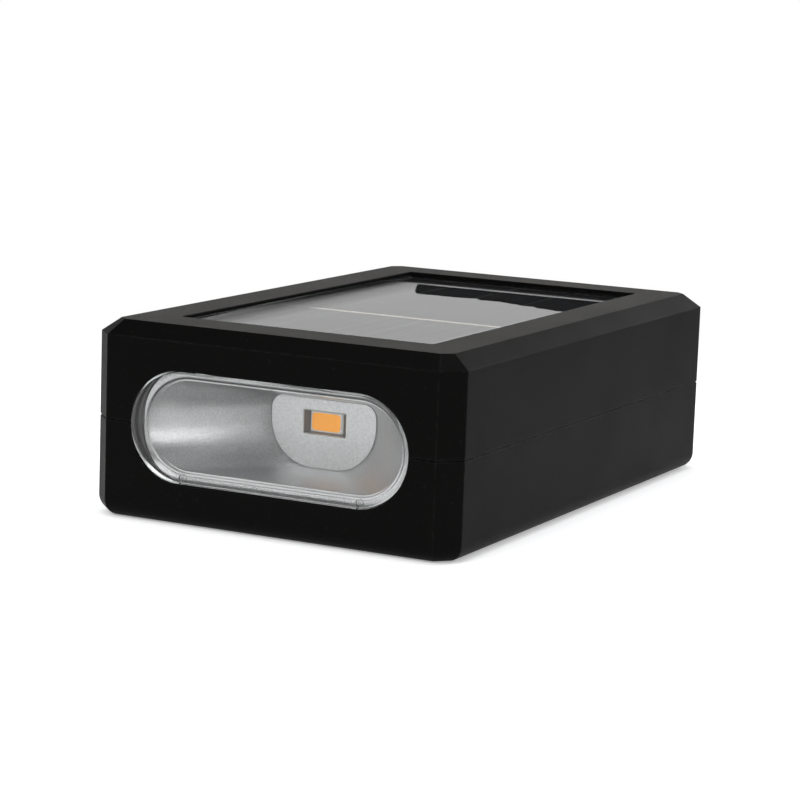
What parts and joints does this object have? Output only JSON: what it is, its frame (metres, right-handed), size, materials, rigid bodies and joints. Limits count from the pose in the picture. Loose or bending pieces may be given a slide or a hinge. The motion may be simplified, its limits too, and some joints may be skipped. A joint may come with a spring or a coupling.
{
  "type": "solar fence light",
  "caption": "Flat rectangular solar light for a fence or wall: panel in a bevelled bezel, wide rounded lens over a silver reflector at each end, push button and keyholes in the back.",
  "frame": {"origin": "middle of the flat back, which rests on the fence or on a table", "axes": "+Z away from the wall, out of the solar panel; +Y towards the end that hangs uppermost; +X across the light"},
  "size_m": [0.07, 0.1096, 0.034],
  "materials": {
    "shell_black": "fine-grained moulded plastic",
    "lens_clear": "clear polycarbonate",
    "reflector_silver": "satin metallised plastic",
    "gasket_black": "silicone",
    "seal_grey": "silicone",
    "screw_steel": "zinc plated",
    "tape_white": "foam tape",
    "substrate_cream": "glass fibre board",
    "cell_dark": "silicon under its coating",
    "ribbon_tin": "tinned copper",
    "resin_clear": "poured clear resin",
    "led_board_black": "black solder mask",
    "led_white": "moulded carrier",
    "phosphor_amber": "phosphor in silicone",
    "board_green": "solder mask",
    "part_black": "moulded component",
    "socket_white": "nylon",
    "holder_black": "moulded plastic",
    "cell_sleeve": "shrink sleeve",
    "contact_nickel": "nickel plated spring steel",
    "button_grey": "moulded button",
    "switch_grey": "moulded switch body",
    "plunger_white": "moulded plunger"
  },
  "bodies": {
    "housing": {"battery_cell": "cell_sleeve", "battery_holder": "holder_black", "battery_plate": "contact_nickel", "battery_spring": "contact_nickel", "board_parts": "part_black", "board_screws": "screw_steel", "button_seal": "gasket_black", "button_spring": "contact_nickel", "cell_ribbon": "ribbon_tin", "control_board": "board_green", "cover_screws": "screw_steel", "front_cover": "shell_black", "housing_seal": "seal_grey", "lower_led_board": "led_board_black", "lower_led_board_screws": "screw_steel", "lower_led_body": "led_white", "lower_led_phosphor": "phosphor_amber", "lower_lens": "lens_clear", "lower_lens_gasket": "gasket_black", "lower_reflector": "reflector_silver", "panel_resin": "resin_clear", "panel_substrate": "substrate_cream", "panel_tape": "tape_white", "power_switch": "switch_grey", "rear_housing": "shell_black", "solar_cells": "cell_dark", "spring_plate": "contact_nickel", "upper_led_board": "led_board_black", "upper_led_board_screws": "screw_steel", "upper_led_body": "led_white", "upper_led_phosphor": "phosphor_amber", "upper_lens": "lens_clear", "upper_lens_gasket": "gasket_black", "upper_reflector": "reflector_silver", "wire_sockets": "socket_white"},
    "button": {"power_button": "button_grey", "switch_plunger": "plunger_white"}
  },
  "joints": [
    {"name": "button_press", "type": "slide", "parent": "housing", "child": "button", "axis": [0, 0, 1], "range_m": [0, 0.0012], "stiffness_N_per_m": 900, "springref_m": -0.0015, "deforming": ["button_spring"]}
  ]
}
